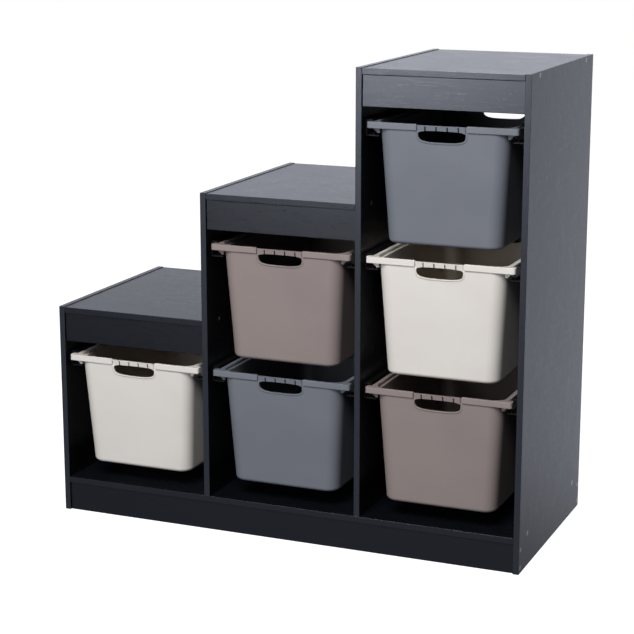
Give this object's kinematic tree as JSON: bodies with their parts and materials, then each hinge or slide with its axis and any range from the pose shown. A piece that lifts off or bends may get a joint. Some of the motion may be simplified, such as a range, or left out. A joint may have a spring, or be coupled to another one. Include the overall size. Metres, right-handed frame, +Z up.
{
  "type": "stepped bin storage unit",
  "caption": "Stair-stepped dark laminate storage frame with columns of rising height, holding pull-out plastic bins that hang on side runners.",
  "frame": {"origin": "on the floor, at the middle of the width and of the depth", "axes": "+X along the width towards the tall column, -Y is the open front, +Z up"},
  "size_m": [0.99, 0.44, 0.95],
  "materials": {
    "board_laminate": "satin charcoal wood-grain laminate",
    "back_laminate": "matt charcoal printed hardboard",
    "runner_black": "satin black extruded plastic",
    "bin_cream": "fine satin moulded polypropylene",
    "bin_taupe": "fine satin moulded polypropylene",
    "bin_slate": "fine satin moulded polypropylene",
    "nickel_screw": "nickel-plated steel",
    "dowel_wood": "plain beech"
  },
  "bodies": {
    "frame": {"left_side_panel": "board_laminate", "left_divider": "board_laminate", "right_divider": "board_laminate", "right_side_panel": "board_laminate", "bottom_board": "board_laminate", "front_plinth": "board_laminate", "rear_plinth": "board_laminate", "short_top_board": "board_laminate", "middle_top_board": "board_laminate", "tall_top_board": "board_laminate", "short_front_rail": "board_laminate", "middle_front_rail": "board_laminate", "tall_front_rail": "board_laminate", "short_back_board": "back_laminate", "middle_back_board": "back_laminate", "tall_back_board": "back_laminate", "runner_short_left": "runner_black", "runner_short_right": "runner_black", "runner_middle_lower_left": "runner_black", "runner_middle_lower_right": "runner_black", "runner_middle_upper_left": "runner_black", "runner_middle_upper_right": "runner_black", "runner_tall_lower_left": "runner_black", "runner_tall_lower_right": "runner_black", "runner_tall_middle_left": "runner_black", "runner_tall_middle_right": "runner_black", "runner_tall_upper_left": "runner_black", "runner_tall_upper_right": "runner_black", "left_panel_screws": "nickel_screw", "right_panel_screws": "nickel_screw", "left_divider_screws": "nickel_screw", "right_divider_screws": "nickel_screw", "bottom_board_screws": "nickel_screw", "plinth_dowels": "dowel_wood", "short_rail_dowels": "dowel_wood", "middle_rail_dowels": "dowel_wood", "tall_rail_dowels": "dowel_wood", "runner_screws_short": "nickel_screw", "runner_screws_middle": "nickel_screw", "runner_screws_tall": "nickel_screw"},
    "bin_short_body": {"bin_short": "bin_cream"},
    "bin_middle_lower_body": {"bin_middle_lower": "bin_slate"},
    "bin_middle_upper_body": {"bin_middle_upper": "bin_taupe"},
    "bin_tall_lower_body": {"bin_tall_lower": "bin_taupe"},
    "bin_tall_middle_body": {"bin_tall_middle": "bin_cream"},
    "bin_tall_upper_body": {"bin_tall_upper": "bin_slate"}
  },
  "joints": [
    {"name": "bin_short_slide", "type": "slide", "parent": "frame", "child": "bin_short_body", "axis": [0, -1, 0], "range_m": [0, 0.43]},
    {"name": "bin_middle_lower_slide", "type": "slide", "parent": "frame", "child": "bin_middle_lower_body", "axis": [0, -1, 0], "range_m": [0, 0.43]},
    {"name": "bin_middle_upper_slide", "type": "slide", "parent": "frame", "child": "bin_middle_upper_body", "axis": [0, -1, 0], "range_m": [0, 0.43]},
    {"name": "bin_tall_lower_slide", "type": "slide", "parent": "frame", "child": "bin_tall_lower_body", "axis": [0, -1, 0], "range_m": [0, 0.43]},
    {"name": "bin_tall_middle_slide", "type": "slide", "parent": "frame", "child": "bin_tall_middle_body", "axis": [0, -1, 0], "range_m": [0, 0.43]},
    {"name": "bin_tall_upper_slide", "type": "slide", "parent": "frame", "child": "bin_tall_upper_body", "axis": [0, -1, 0], "range_m": [0, 0.43]}
  ]
}
